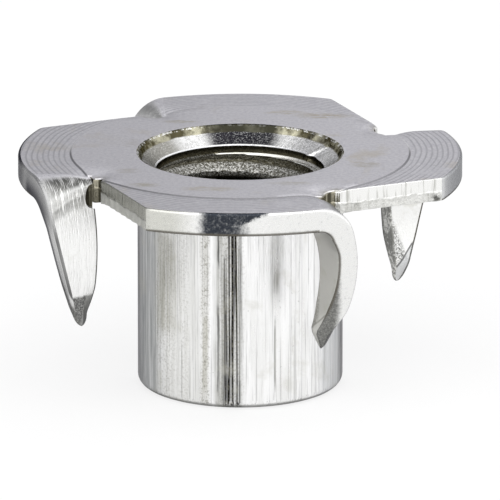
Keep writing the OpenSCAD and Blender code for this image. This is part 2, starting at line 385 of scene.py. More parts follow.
    def lobe_wall(self):
        """The wall under each outline point, as a grid of rows by columns."""
        inwards, depth = self.wall_rows(self.edge, self.edge, self.lobe_t)
        inwards = inwards + self.torn(depth)
        flat = self.line[None] + self.inward[None] * inwards[..., None]
        wall = np.concatenate([flat, (-self.face_step - depth)[..., None]], -1)
        out = self.claw_out - inwards[:, self.fold_at]
        back = self.shear_off + ROOT_GAP + inwards[:, -1]
        x = between(out[:, None], back[:, None], np.arange(FOLD_COLUMNS + 1) / FOLD_COLUMNS)
        wall[:, self.fold_at:] = self.folded(x, depth[:, self.fold_at:], self.lobe_t, 0.0)
        return wall

    def torn(self, depth):
        """How far the lower part of the sheared face lies back, where the sheet tore instead of
        shearing: it starts at a wavy line, the sum of three sines along the cut, and ends before
        the hollow and before the corner."""
        x = self.line[:, 0]
        wave = sum(high * np.sin(often * x + start) for high, often, start in TEAR_SINES)
        line = TEAR_AT + TEAR_WAVE * wave
        high, often, start = TEAR_IN_SINE
        back = TEAR_IN * (1 + high * np.sin(often * x + start)) * eased(depth, line - 0.03, line + 0.05)
        j = np.arange(len(x))
        back *= eased(j, HOLLOW_COLUMNS, HOLLOW_COLUMNS + 3)
        return back * (1 - eased(j, SHEAR_COLUMNS - 4, SHEAR_COLUMNS - 1))

    # ---- claws

    def claw(self):
        """A claw as a closed strip round its section, carried along the fold and the hook. The
        section is a slab with rounded edges, hollowed at its inner corner beside the cut's root.
        Near the point its outer face falls away from a middle ridge as two facets."""
        s = np.concatenate([
            steps(0, FOLD_PART, 14),
            steps(FOLD_PART, CLOSE_TO, 18),
            steps(CLOSE_TO, END_FROM, 22),
            between(END_FROM, 1, np.sin(np.linspace(0, QUARTER, 8))),
        ])
        # inner and outer edge, drawn together where the point's end rounds off
        start = self.shear_off + ROOT_GAP
        r0 = between(start, self.claw_in, eased(s, FOLD_PART, SLIT_TO)) + self.edge_swing * s**3
        line = between(self.claw_out, self.claw_in + self.edge_swing + self.tip_w, s)
        r1 = line + self.edge_bow * 4 * s * (1 - s)
        bevel = part_way(s, THIN_FROM, 1)
        thick = between(self.lobe_t, self.tip_t, bevel)
        end = np.sqrt(np.clip(1 - part_way(s, END_FROM, 1) ** 2, 0, 1))
        middle = (r0 + r1) / 2
        r0 = middle + (r0 - middle) * end
        r1 = middle + (r1 - middle) * end
        # widths and depths of the edges' roundings
        grown = eased(s, 0, GROWN_TO)
        out_w = between(RIM_EDGE, OUTER_EDGE[0], grown) * end
        out_d = np.minimum(between(RIM_EDGE, OUTER_EDGE[1], grown), EDGE_MOST * thick)
        freed = eased(s, FOLD_PART, FREED_TO)
        in_w = between(JOIN_EDGE, INNER_EDGE[0], freed) * end
        in_d = np.minimum(between(JOIN_EDGE, INNER_EDGE[1], freed), EDGE_MOST * thick)
        # the hollow: a quarter circle cut out of the inner corner, which ends under the flange
        side, up, turn = self.surface(0, self.fold_root, s)
        reach = np.sqrt(np.clip(self.hollow_r**2 - (side - self.hollow_y) ** 2, 0, None))
        low = self.sheet + HOLLOW_FADE[1]
        ends = np.sqrt(1 - part_way(-up, self.sheet - HOLLOW_FADE[0], low) ** 2)
        past = side - self.hollow_y + self.hollow_r
        hollow_w = (self.hollow_x + reach - r0) * ends * (past > 0)
        hollow_d = np.clip(past, 0, None) / np.sin(np.maximum(turn, LEAST_TURN)) * ends
        hollow = (up > -low) * (hollow_w > in_w) * eased(hollow_w, *HOLLOW_SHOWS)
        # outer wall, inner wall, and the two broad faces
        inner_in, inner_d = self.wall_rows(in_w, in_d, thick)
        corner_w = between(in_w, np.maximum(hollow_w, in_w), hollow)
        corner_d = between(in_d, np.maximum(hollow_d, in_d), hollow)
        a = np.linspace(0, QUARTER, EDGE_ROWS + 1)[:, None]
        rest = np.linspace(0, 1, WALL_ROWS + 1)[1:-1, None]
        inner_in[:EDGE_ROWS + 1] = between(corner_w * (1 - np.sin(a)), corner_w * np.cos(a), hollow)
        inner_d[:EDGE_ROWS + 1] = between(corner_d * (1 - np.cos(a)), corner_d * np.sin(a), hollow)
        inner_d[EDGE_ROWS + 1:EDGE_ROWS + WALL_ROWS] = between(corner_d, thick - in_d, rest)
        outer_in, outer_d = self.wall_rows(out_w, out_d, thick)
        share = np.linspace(0, 1, FOLD_COLUMNS + 1)[:, None]
        broad_x = between(r1 - out_w, r0 + corner_w, share)
        back_x = between(r1 - out_w, r0 + in_w, share)
        zero = np.zeros_like(broad_x)
        x = np.concatenate([broad_x, (r0 + inner_in)[1:], back_x[::-1][1:], (r1 - outer_in)[::-1][1:]])
        q = np.concatenate([zero, inner_d[1:], zero[1:] + thick, outer_d[::-1][1:]])
        # facets: the section sinks with the distance from the middle ridge
        across = np.abs(x - middle) / np.maximum((r1 - r0) / 2, 1e-6)
        fall = FACET_FALL * thick * part_way(s, FACETS_FROM, 1) * across
        deep = q / thick
        q = q + fall * np.clip(1 - deep, 0, 1) - FACET_RISE * fall * np.clip(deep, 0, 1)
        q = thick / 2 + (q - thick / 2) * end
        # below the fold the sheet is drawn thinner towards the outer edge
        rim_t = between(self.lobe_t, self.claw_t, part_way(x, self.claw_in, self.claw_out))
        drawn = between(self.lobe_t, rim_t, part_way(s, FOLD_PART, DRAWN_TO))
        depth = between(drawn, self.tip_t, bevel)
        grid = self.sagged(self.folded(x, q / thick * depth, depth, s))
        run = s * self.claw_len
        broad, wall = (FOLD_COLUMNS, stacked(x, run)), (2 * EDGE_ROWS + WALL_ROWS, stacked(run, q))
        parts = []
        first = 0
        for kind, (rows, flat) in ((CLAW_FACE, broad), (CLAW_EDGE, wall), (CLAW_BACK, broad), (RIM, wall)):
            last = first + rows
            parts.append((grid[first:last + 1], flat[first:last + 1], kind))
            first = last
        return parts

    # ---- flange

    def disc_rows(self, wall_row, stops, heights):
        """Rows from the wall inwards to the mouth or the neck. In each column the angle goes
        from the wall's own to the mouth's, and is that of the mouth inside the spread circle."""
        radius = np.hypot(wall_row[:, 0], wall_row[:, 1])
        own = np.arctan2(wall_row[:, 1], wall_row[:, 0])
        a = between(self.mouth_a, own, part_way(stops, SPREAD_R, radius))
        return stacked(stops * np.cos(a), stops * np.sin(a), heights)

    def top(self):
        """The flange's top: the lobes, the small step up to the pressed face, and the face."""
        edge = self.lobe_wall()[0]
        radius = np.hypot(edge[:, 0], edge[:, 1])
        low = np.minimum(self.face_r + STEP_HALF, radius - STEP_GAP)
        high = np.minimum(self.face_r - STEP_HALF, radius - 2 * STEP_GAP)
        rows = [(between(radius, low, t), -self.face_step) for t in np.linspace(0, 1, 9)]
        rows += [(between(low, high, t), -self.face_step * (1 - t)) for t in (0.5, 1)]
        rows += [(r + 0 * radius, 0.0) for r in np.linspace(SPREAD_R, self.mouth_r + MOUTH_ROUND[0], 8)]
        rows, heights = zip(*rows)
        return self.disc_rows(edge, np.array(rows), np.array(heights)[:, None])

    def under(self):
        """The flange's underside, from the wall's lower edge in to the neck's fillet."""
        edge = self.lobe_wall()[-1]
        radius = np.hypot(edge[:, 0], edge[:, 1])
        neck = self.barrel_r + self.neck_round
        rows = [between(radius, SPREAD_R, t) for t in np.linspace(0, 1, 6)]
        rows += [r + 0 * radius for r in np.linspace(SPREAD_R, neck, 6)[1:]]
        return self.disc_rows(edge, np.array(rows), -self.sheet)

    # ---- barrel and bore, turned about the axis

    def barrel(self):
        """Profile of the outside: neck fillet, straight barrel, rounded lower edge, end ring."""
        a = np.linspace(0, QUARTER, 7)
        neck_r = self.barrel_r + self.neck_round * (1 - np.sin(a))
        neck_z = -self.sheet - self.neck_round * (1 - np.cos(a))
        straight = np.linspace(neck_z[-1], -self.height + self.end_round, 8)[1:-1]
        end_r = self.barrel_r - self.end_round * (1 - np.cos(a))
        end_z = -self.height + self.end_round * (1 - np.sin(a))
        ring = np.linspace(end_r[-1], self.exit_r, 4)[1:]
        r = np.concatenate([neck_r, np.full(len(straight), self.barrel_r), end_r, ring])
        z = np.concatenate([neck_z, straight, end_z, np.full(len(ring), -self.height)])
        return r, z

    def thread_radius(self, a, z):
        """Radius of the thread at angle a and height z: flat root, 60 degree flanks and flat
        crest, running round as a right-hand helix with the given pitch."""
        start = THREAD_START - self.pitch * 0.5
        turn = (z - start) / self.pitch - (a - math.radians(THREAD_TURN)) / (2 * math.pi)
        from_crest = np.abs(turn - np.round(turn)) * self.pitch
        foot = self.pitch / 2 - THREAD_ROOT
        head = foot - (self.root_r - self.crest_r) * FLANK
        return between(self.crest_r, self.root_r, part_way(from_crest, head, foot))

    def bore(self, a):
        """The bore from the exit's countersink up to the mouth: the larger of the thread and the
        plain profile of countersink, shoulder, relief, flare and lip."""
        low, relief, foot = -self.height, -self.relief_depth, RELIEF_EDGE - self.relief_depth
        wide, round_z = MOUTH_ROUND
        z = [np.array([low])]
        for up, rows in (
            (low + EXIT_PART, 13), (CLOSE_FROM, 31), (relief - FOOT_PART, 49), (relief, 17),
            (foot, 2), (-self.flare_depth, 5), (-self.lip_depth, 7), (-round_z, 4),
        ):
            z.append(np.linspace(z[-1][-1], up, rows + 1)[1:])
        top_edge = np.linspace(0, QUARTER, 5)[1:]
        z = np.concatenate(z + [-round_z * (1 - np.sin(top_edge))])
        shoulder = (self.root_r - self.crest_r) * FLANK
        profile = (
            (low, self.exit_r), (low + self.exit_r - self.crest_r, self.crest_r),
            (relief - shoulder, self.crest_r), (relief, self.root_r - RELIEF_EDGE), (foot, self.root_r),
            (-self.flare_depth, self.root_r), (-self.lip_depth, self.mouth_r - self.lip_step),
            (-round_z, self.mouth_r),
        )
        plain = np.interp(z, *zip(*profile))
        plain[-4:] = self.mouth_r + wide * (1 - np.cos(top_edge))
        thread = self.thread_radius(a[None], z[:, None])
        radius = np.maximum(plain[:, None], np.where(z[:, None] < -self.flare_depth, thread, 0))
        radius[0] = self.exit_r
        return radius + self.flare_marks(a[None], z[:, None]), z

    def flare_marks(self, a, z):
        """Change of the bore's radius by a raised burr that runs slanting down the flare, with a
        pocket behind it, and by the waviness of the lip. Burr and pocket are bell curves across
        their slanting line, and the waviness is the sum of three sines round the mouth."""
        share = part_way(-z, RIDGE_TOP, RIDGE_END)
        line = np.radians(between(RIDGE_FROM, RIDGE_TO, share))
        off = np.angle(np.exp(1j * (a - line))) * self.root_r
        inside = eased(-z, RIDGE_TOP - RIDGE_SOFT, RIDGE_TOP)
        inside = inside * (1 - eased(-z, RIDGE_END, RIDGE_END + RIDGE_SOFT))
        ridge = -RIDGE_HIGH * np.exp(-(off / RIDGE_WIDE) ** 2) * inside
        pocket = RIDGE_HIGH * np.exp(-((off + POCKET_OFF) / POCKET_WIDE) ** 2) * inside * share
        wave = np.sin(13 * a + 1) + np.sin(29 * a + 2) + np.sin(47 * a + 4 + 9 * z)
        lip = eased(z, -self.lip_depth - LIP_SOFT, -self.lip_depth + LIP_SOFT)
        lip = lip * (1 - eased(z, *LIP_ENDS))
        return ridge + pocket + LIP_WAVE * wave * lip

    # ---- all of it

    def skin(self):
        """The skin of the whole nut, from the surfaces above."""
        skin = Skin()
        top = self.sagged(self.round_lobes(self.top()))
        under = self.sagged(self.round_lobes(self.under()))
        skin.add(top[::-1], top[::-1, :, :2], TOP)
        skin.add(under, under[..., :2], UNDER)
        wall = self.sagged(self.lobe_wall())
        along = np.concatenate([[0], np.cumsum(np.hypot(*np.diff(self.line, axis=0).T))])
        down = self.wall_rows(CUT_EDGE, CUT_EDGE, self.lobe_t)[1]
        uv = stacked(along[None], down[:, None])
        slit = np.concatenate([wall[:, -1:], self.turn(wall[:, :1], 1)], axis=1)
        cut, fold = SHEAR_COLUMNS + 2, self.fold_at
        parts = [
            (wall[:, :cut + 1], uv[:, :cut + 1], SHEARED),
            (wall[:, cut:fold + 1], uv[:, cut:fold + 1], RIM),
            (slit, uv[:, :2], SHEARED),
        ] + self.claw()
        for k in range(LOBES):
            for grid, flat, kind in parts:
                skin.add(self.turn(grid, k), flat, kind)
        round_a = [self.mouth_a + k * 2 * math.pi / LOBES for k in range(LOBES)]
        a = np.concatenate(round_a + [self.mouth_a[:1] + 2 * math.pi])
        r, z = self.barrel()
        self.add_turned(skin, r[:, None], z, a, self.barrel_r, BARREL)
        r, z = self.bore(a)
        split = int(np.searchsorted(z, -self.relief_depth))
        self.add_turned(skin, r[:split + 1], z[:split + 1], a, self.root_r, THREAD)
        self.add_turned(skin, r[split:], z[split:], a, self.root_r, MOUTH)
        return skin

    def add_turned(self, skin, r, z, a, flat_r, kind):
        """Adds a surface turned about the axis, closed with its own first column. Its flat place
        is the way round a circle of radius flat_r, and the height."""
        grid = stacked(r * np.cos(a), r * np.sin(a), z[:, None])
        grid[:, -1] = grid[:, 0]
        skin.add(grid, stacked(a[None] * flat_r, z[:, None]), kind)


# ---------------------------------------------------------------- finishes


class Tree:
    """A node tree in the making. Each call adds a node and gives back its output. A tone is a
    colour's red, green and blue, or one number for a grey."""

    def __init__(self, tree):
        self.tree = tree

    def node(self, kind, inputs=(), **settings):
        """Adds a node with its settings and inputs, and gives back all its outputs."""
        node = self.tree.nodes.new(kind)
        for name, value in settings.items():
            setattr(node, name, value)
        for key, value in dict(inputs).items():
            if isinstance(value, bpy.types.NodeSocket):
                self.tree.links.new(value, node.inputs[key])
            else:
                node.inputs[key].default_value = value
        return node.outputs

    def use(self, group, **inputs):
        """Adds a node group, and gives back its outputs."""
        return self.node("ShaderNodeGroup", inputs, node_tree=group)

    def math(self, operation, *values):
        return self.node("ShaderNodeMath", enumerate(values), operation=operation)[0]

    def times(self, value, *others):
        for other in others:
            value = self.math("MULTIPLY", value, other)
        return value

    def scaled(self, value, by, plus):
        """value times by, and plus added to it."""
        return self.math("MULTIPLY_ADD", value, by, plus)

    def vector(self, operation, *values):
        return self.node("ShaderNodeVectorMath", enumerate(values), operation=operation)[0]

    def grown(self, at, size):
        return self.node("ShaderNodeVectorMath", {0: at, "Scale": size}, operation="SCALE")[0]

    def far(self, at):
        return self.node("ShaderNodeVectorMath", {0: at}, operation="LENGTH")[1]

    def split(self, at):
        return tuple(self.node("ShaderNodeSeparateXYZ", {0: at}))

    def rotated(self, at, a):
        return self.node("ShaderNodeMapping", {"Vector": at, "Rotation": (0, 0, a)})[0]

    def ease(self, value, low, high, start=0.0, end=1.0):
        """start below low, end above high, and a soft change between."""
        ends = {"From Min": low, "From Max": high, "To Min": start, "To Max": end}
        return self.node("ShaderNodeMapRange", {"Value": value, **ends}, interpolation_type="SMOOTHSTEP")[0]

    def fade(self, value, low, high):
        """1 below low, 0 above high, and a soft change between."""
        return self.ease(value, low, high, 1.0, 0.0)

    def zone(self, value, low, full, falling, high):
        """1 from full to falling, 0 below low and above high, and soft changes between."""
        return self.times(self.ease(value, low, full), self.fade(value, falling, high))

    def noise(self, at, scale, detail, rough, wander=0.0, output=0):
        sizes = {"Scale": scale, "Detail": detail, "Roughness": rough, "Distortion": wander}
        return self.node("ShaderNodeTexNoise", {"Vector": at, **sizes})[output]

    def blend(self, share, a, b, kind="MIX"):
        inputs = {0: share}
        for key, tone in ((6, a), (7, b)):
            if isinstance(tone, (int, float)):
                tone = (tone, tone, tone)
            inputs[key] = (*tone, 1) if isinstance(tone, tuple) else tone
        return self.node("ShaderNodeMix", inputs, data_type="RGBA", blend_type=kind)[2]

    def lay(self, colour, tone, *shares):
        """The colour with a tone laid over it, to the product of the given shares."""
        return self.blend(self.times(*shares), colour, tone)


FLOAT, VECTOR = "NodeSocketFloat", "NodeSocketVector"


def effect(inputs, outputs):
    """Turns a function that draws part of a node tree into one that gives it as a shader node
    group, made once. Inputs are named with their defaults, where None stands for a vector, and
    outputs with their kinds. The function gets the tree and the group's inputs, and gives back
    its outputs in order."""

    def group_of(build):
        def group():
            name = build.__name__
            if name in bpy.data.node_groups:
                return bpy.data.node_groups[name]
            made = bpy.data.node_groups.new(name, "ShaderNodeTree")
            for label, default in inputs.items():
                kind = VECTOR if default is None else FLOAT
                socket = made.interface.new_socket(label, in_out="INPUT", socket_type=kind)
                if default is not None:
                    socket.default_value = default
            for label, kind in outputs.items():
                made.interface.new_socket(label, in_out="OUTPUT", socket_type=kind)
            given = made.nodes.new("NodeGroupInput").outputs
            end = made.nodes.new("NodeGroupOutput")
            for label, value in zip(outputs, build(Tree(made), given)):
                made.links.new(value, end.inputs[label])
            return made

        return group

    return group_of


@effect({}, {"Point": VECTOR, "Height": FLOAT, "Radius": FLOAT, "Angle": FLOAT})
def place_on_nut(tree, given):
    """Place on the nut in millimetres: the point itself, its height below the flange's top, its
    distance from the axis, and its angle round the axis in degrees from the front."""
    at = tree.grown(tree.node("ShaderNodeTexCoord")["Object"], 1 / MM)
    at = tree.vector("SUBTRACT", at, (0, 0, HIGH[2] / MM))
    point = tree.rotated(at, math.radians(FRONT_TURN))
    x, y, z = tree.split(point)
    angle = tree.math("ARCTAN2", x, tree.times(y, -1.0))
    return point, z, tree.far(tree.vector("MULTIPLY", point, (1, 1, 0))), tree.math("DEGREES", angle)


@effect({"Point": None}, {"Fine": FLOAT, "Broad": FLOAT, "Short": FLOAT})
def draw_lines(tree, given):
    """Fine parallel lines that run along Z: noise squeezed across them and drawn out along them."""
    lines = []
    for squeeze, *sizes in (0.02, 9.0, 4.0, 0.7), (0.10, 1.6, 3.0, 0.6), (0.25, 14.0, 2.0, 0.6):
        at = tree.vector("MULTIPLY", given["Point"], (1, 1, squeeze))
        lines.append(tree.noise(at, *sizes))
    return lines


@effect(
    {"Point": None, "Angle": 0.0, "Height": 0.0, "Middle": 0.0, "Half": 3.0, "Ragged": 2.0,
     "Bottom": -20.0, "Top": 20.0},
    {"Mask": FLOAT},
)
def upright_streak(tree, given):
    """One upright streak: a band of angles round the axis with ragged sides and ends."""
    wander = tree.noise(tree.vector("MULTIPLY", given["Point"], (0.3, 0.3, 0.5)), 1.0, 4.0, 0.7)
    off = tree.scaled(wander, given["Ragged"], given["Angle"])
    off = tree.math("SUBTRACT", off, tree.scaled(given["Ragged"], 0.5, given["Middle"]))
    off = tree.math("ABSOLUTE", tree.math("WRAP", off, 180.0, -180.0))
    side = tree.fade(off, tree.times(given["Half"], 0.4), tree.times(given["Half"], 1.3))
    rise = tree.scaled(wander, 2.0, given["Height"])
    low = tree.ease(tree.math("SUBTRACT", rise, given["Bottom"]), 0.6, 1.6)
    high = tree.ease(tree.math("SUBTRACT", given["Top"], rise), -1.4, -0.4)
    return [tree.times(side, low, high)]


@effect({"Point": None, "Middle": None, "Reach": None, "Ragged": 0.3}, {"Mask": FLOAT})
def local_mark(tree, given):
    """One mark at a place on the nut: an ellipsoid with ragged sides."""
    shake = tree.noise(given["Point"], 2.5, 4.0, 0.7, output=1)
    shake = tree.grown(tree.vector("SUBTRACT", shake, (0.5, 0.5, 0.5)), given["Ragged"])
    off = tree.vector("SUBTRACT", tree.vector("ADD", given["Point"], shake), given["Middle"])
    far = tree.far(tree.vector("DIVIDE", off, given["Reach"]))
    patchy = tree.noise(tree.vector("MULTIPLY", given["Point"], (0.9, 3.0, 2.0)), 1.6, 4.0, 0.7)
    return [tree.times(tree.fade(far, 0.3, 1.1), tree.ease(patchy, 0.36, 0.58))]


@effect({"Point": None, "Size": 1.0}, {"Mottle": FLOAT, "Blotch": FLOAT, "Speck": FLOAT})
def stains(tree, given):
    """A fine mottle, blotches and small dark specks, each as a mask."""
    at = tree.grown(given["Point"], given["Size"])
    blotch = tree.ease(tree.noise(at, 0.55, 4.0, 0.62, 0.4), 0.55, 0.72)
    speck = tree.ease(tree.noise(at, 5.5, 2.0, 0.6), 0.70, 0.78)
    return tree.noise(at, 6.0, 5.0, 0.75), blotch, speck


class Steel(Tree):
    """The tree of a finish, with the place on the nut at hand: the point, its depth below the
    flange's top and its distance from the axis in millimetres, and its angle from the front in
    degrees. Depths are negative downwards."""

    def __init__(self, tree):
        super().__init__(tree)
        self.point, self.depth, self.radius, self.angle = tuple(self.use(place_on_nut()))

    def stains(self, size=1.0):
        return tuple(self.use(stains(), Point=self.point, Size=size))

    def squeezed(self, along):
        """The point with its height squeezed, for upright lines."""
        return self.vector("MULTIPLY", self.point, (1, 1, along))

    def streak(self, middle, half, ragged, bottom=-20, top=20):
        place = {"Point": self.point, "Angle": self.angle, "Height": self.depth}
        shape = {"Middle": middle, "Half": half, "Ragged": ragged, "Bottom": bottom, "Top": top}
        return self.use(upright_streak(), **place, **shape)[0]

    def streaked(self, colour, streaks, *shares):
        """The colour with upright streaks laid on it."""
        for middle, half, ragged, share, tone, *ends in streaks:
            colour = self.lay(colour, tone, self.streak(middle, half, ragged, *ends), *shares, share)
        return colour

    def marked(self, colour, marks):
        """The colour with local marks laid on it."""
        for middle, reach, ragged, share, tone in marks:
            mask = self.use(local_mark(), Point=self.point, Middle=middle, Reach=reach, Ragged=ragged)[0]
            colour = self.lay(colour, tone, mask, share)
        return colour

    def flat(self, stretch=None):
        """The two coordinates of the flat map, or the map stretched, in millimetres."""
        at = self.node("ShaderNodeUVMap", uv_map=FLAT_MAP)[0]
        return self.vector("MULTIPLY", at, stretch) if stretch else self.split(at)[:2]


# Marks: middle, reach, raggedness, share and tone.
CUT_ROOT = (0.9, 0.9, 1), 0.2, 1.0, (0.42, 0.41, 0.35)
TOP_MARKS = (
    ((4.1, 6.5, 0), (1.7, 0.6, 1), 0.9, 0.75, (0.62, 0.56, 0.44)),
    ((2.2, 7.1, 0), (1.2, 0.4, 1), 0.9, 0.65, (0.64, 0.59, 0.47)),
    ((-2.9, 5.4, 0), (1.1, 0.35, 1), 0.8, 0.65, (0.55, 0.51, 0.40)),
    ((-5.2, 1.4, 0), (0.5, 1.1, 1), 0.8, 0.5, (0.58, 0.56, 0.52)),
    ((-4.6, -5.9, 0), (0.9, 0.45, 1), 0.6, 0.65, (0.56, 0.53, 0.43)),
    ((-5.4, -3.4, 0), (0.7, 0.5, 1), 0.8, 0.6, (0.56, 0.53, 0.46)),
    ((6.1, -2.3, 0), (0.9, 0.6, 1), 0.8, 0.6, (0.58, 0.54, 0.44)),
    ((2.4, -5.6, 0), (1.3, 0.4, 1), 0.8, 0.5, (0.62, 0.59, 0.50)),
    ((-1.5, -6.6, 0), (1.7, 0.5, 1), 0.8, 0.6, (0.66, 0.61, 0.50)),
    ((-7.05, -4.45, 0), *CUT_ROOT),
    ((4.45, -7.05, 0), *CUT_ROOT),
    ((7.05, 4.45, 0), *CUT_ROOT),
    ((-4.45, 7.05, 0), *CUT_ROOT),
)
MOUTH_MARKS = (
    ((3.75, 1.6, -1.0), (0.55, 0.5, 0.35), 0.2, 0.95, (0.03, 0.03, 0.02)),
    ((-4.2, 0.3, -0.75), (0.5, 0.4, 0.2), 0.4, 0.7, (0.30, 0.30, 0.29)),
)
SHEARED_MARKS = (
    ((9.45, -4.6, -1.0), (0.3, 0.3, 0.3), 0.2, 1.0, (0.10, 0.10, 0.09)),
)
# Streaks: middle angle, half width, raggedness, share and tone, and lower and upper end if short.
BARREL_STREAKS = (
    # painted shade at the left side: a dark edge and a grey band
    (-84, 10, 2, 0.8, (0.08, 0.08, 0.09)),
    (-64, 16, 5, 0.85, (0.28, 0.29, 0.29)),
    (-36, 16, 4, 0.4, (0.50, 0.50, 0.46)),
    (-46, 9, 5, 0.5, (0.34, 0.33, 0.26), -8.2, -3.0),
    (-20, 2.6, 2, 0.4, (0.50, 0.49, 0.44)),
    (-20, 1.6, 3, 0.35, (0.26, 0.24, 0.14), -10.8, -7.0),
    # painted dark reflection where the barrel faces the front: the grey and black streaks from -13 to 0
    # degrees
    (-10.8, 4.4, 2, 0.7, (0.36, 0.36, 0.33)),
    (-12.2, 0.7, 1.5, 0.8, 0.03, -4.8, -1.0),
    (-12.4, 0.8, 2, 0.8, 0.03, -10.8, -6.2),
    (-4, 5, 2, 0.30, (0.20, 0.20, 0.19)),
    (-1.2, 2.2, 1.5, 0.55, (0.34, 0.34, 0.33)),
    (-6.6, 0.8, 1, 0.85, (0.03, 0.03, 0.04)),
    (-4.9, 0.9, 1.2, 0.95, (0.02, 0.02, 0.03)),
    (-3.2, 0.6, 1, 0.8, (0.05, 0.05, 0.06), -9.5, 20),
    (-6.5, 3.5, 5, 0.9, (0.03, 0.03, 0.04), -11.6, -9.8),
    (21, 4, 3, 0.45, (0.42, 0.42, 0.43), -6.3, -2.0),
    (20.5, 2.2, 3, 0.6, (0.16, 0.15, 0.12), -5.8, -4.6),
    (19.7, 0.7, 0.7, 0.75, (0.20, 0.20, 0.18), -10.9, -7.2),
    (29.4, 0.5, 0.6, 0.35, (0.45, 0.45, 0.46)),
    (32.6, 0.5, 0.6, 0.35, (0.45, 0.45, 0.46)),
    (36.6, 0.6, 0.8, 0.35, (0.45, 0.45, 0.46)),
    # painted shade at the right side: a grey band and a dark edge
    (62, 12, 4, 0.5, (0.47, 0.49, 0.51)),
    (82, 10, 2, 0.8, (0.12, 0.12, 0.13)),
    (150, 9, 6, 0.6, (0.30, 0.30, 0.29)),
    (-135, 5, 3, 0.8, 0.12),
    (112, 3, 2, 0.5, (0.25, 0.25, 0.23)),
)
STIPPLE_TONE = (0.20, 0.19, 0.15)
BARREL_STIPPLE = (
    (-47, 9, 4, 0.4, STIPPLE_TONE),
    (-20, 3, 4, 0.7, STIPPLE_TONE),
    (-33, 4, 4, 0.3, STIPPLE_TONE),
    (-5, 7, 4, 0.75, STIPPLE_TONE),
)
RIM_STREAKS = (
    (-22, 9, 4, 0.65, (0.50, 0.50, 0.44)),
    (-30, 2.0, 2, 0.8, (0.30, 0.29, 0.22)),
    # painted shade along the left lobe's rim
    (-96, 24, 3, 1.0, (0.035, 0.035, 0.045)),
    (80, 20, 4, 0.6, (0.30, 0.31, 0.34)),
    (176, 8, 6, 0.7, (0.12, 0.12, 0.13)),
)
RING_STEP = 0.27         # millimetres between the tool's ring marks on the lobes
EDGE_TINT = (0.35, 0.35, 0.36, 1)


def steel(name, finish):
    """A material of plated steel. finish gets its tree, and gives back its colour, roughness and
    bump height in millimetres."""
    material = bpy.data.materials.new(name)
    material.use_nodes = True
    tree = Steel(material.node_tree)
    shader = material.node_tree.nodes["Principled BSDF"]
    shader.inputs["Metallic"].default_value = 1
    shader.inputs["Specular Tint"].default_value = EDGE_TINT
    colour, rough, height = finish(tree)
    normal = tree.node("ShaderNodeBump", {"Height": height, "Distance": MM})[0]
    for label, value in (("Base Color", colour), ("Roughness", rough), ("Normal", normal)):
        tree.tree.links.new(value, shader.inputs[label])
    return material


def pressed_grey(tree, mottle):
    """Even grey of the pressed top, which runs on over the claws' folds."""
    return tree.blend(tree.ease(mottle, 0.25, 0.75), (0.76, 0.75, 0.79), (0.99, 0.98, 1.0))


def ring_marks(tree):
    """Marks that the tool's face left on the lobes: a sine of the distance from the axis."""
    at = tree.scaled(tree.noise(tree.point, 0.12, 2.0, 0.5), 0.9, tree.radius)
    return tree.ease(tree.math("SINE", tree.times(at, 2 * math.pi / RING_STEP)), 0.1, 0.95)


def hollow_tone(tree):
    """Upright olive and dark bands of the hollow at a cut's root."""
    bands = tree.noise(tree.squeezed(0.05), 3.2, 2.0, 0.5)
    return tree.blend(tree.ease(bands, 0.42, 0.58), (0.07, 0.065, 0.045), (0.34, 0.32, 0.25))


def top_finish(tree):
    """Pressed top: even grey with rings left by the tool on the lobes, and olive stains."""
    mottle, speck = tree.stains()[::2]
    large = tree.stains(0.45)[1]
    patchy = tree.ease(tree.noise(tree.point, 0.35, 2.0, 0.5), 0.32, 0.5, 0.25, 1.0)
    ring = tree.times(ring_marks(tree), tree.ease(tree.radius, FACE_R + 0.05, FACE_R + 0.35), patchy)
    colour = pressed_grey(tree, mottle)
    colour = tree.lay(colour, (0.74, 0.68, 0.56), large, 0.5)
    colour = tree.lay(colour, (0.25, 0.24, 0.20), speck, 0.5)
    colour = tree.lay(colour, (0.55, 0.55, 0.57), ring, 0.6)
    # the pressed face's edge: painted shade as a dark line at the front, and a painted highlight as a light
    # line at the back
    x, y = tree.split(tree.point)[:2]
    step = tree.fade(tree.math("ABSOLUTE", tree.math("SUBTRACT", tree.radius, FACE_R)), 0.02, 0.07)
    colour = tree.lay(colour, tree.blend(tree.ease(y, -0.5, 1.5), (0.20, 0.20, 0.21), 1.0), step, 0.8)
    # painted shade: the left side of the top is a little darker
    colour = tree.blend(1.0, colour, tree.ease(x, -9.0, 7.0, 0.88, 1.0), "MULTIPLY")
    colour = tree.marked(colour, TOP_MARKS)
    return colour, tree.scaled(mottle, 0.18, 0.30), tree.scaled(mottle, 0.006, tree.times(ring, 0.008))


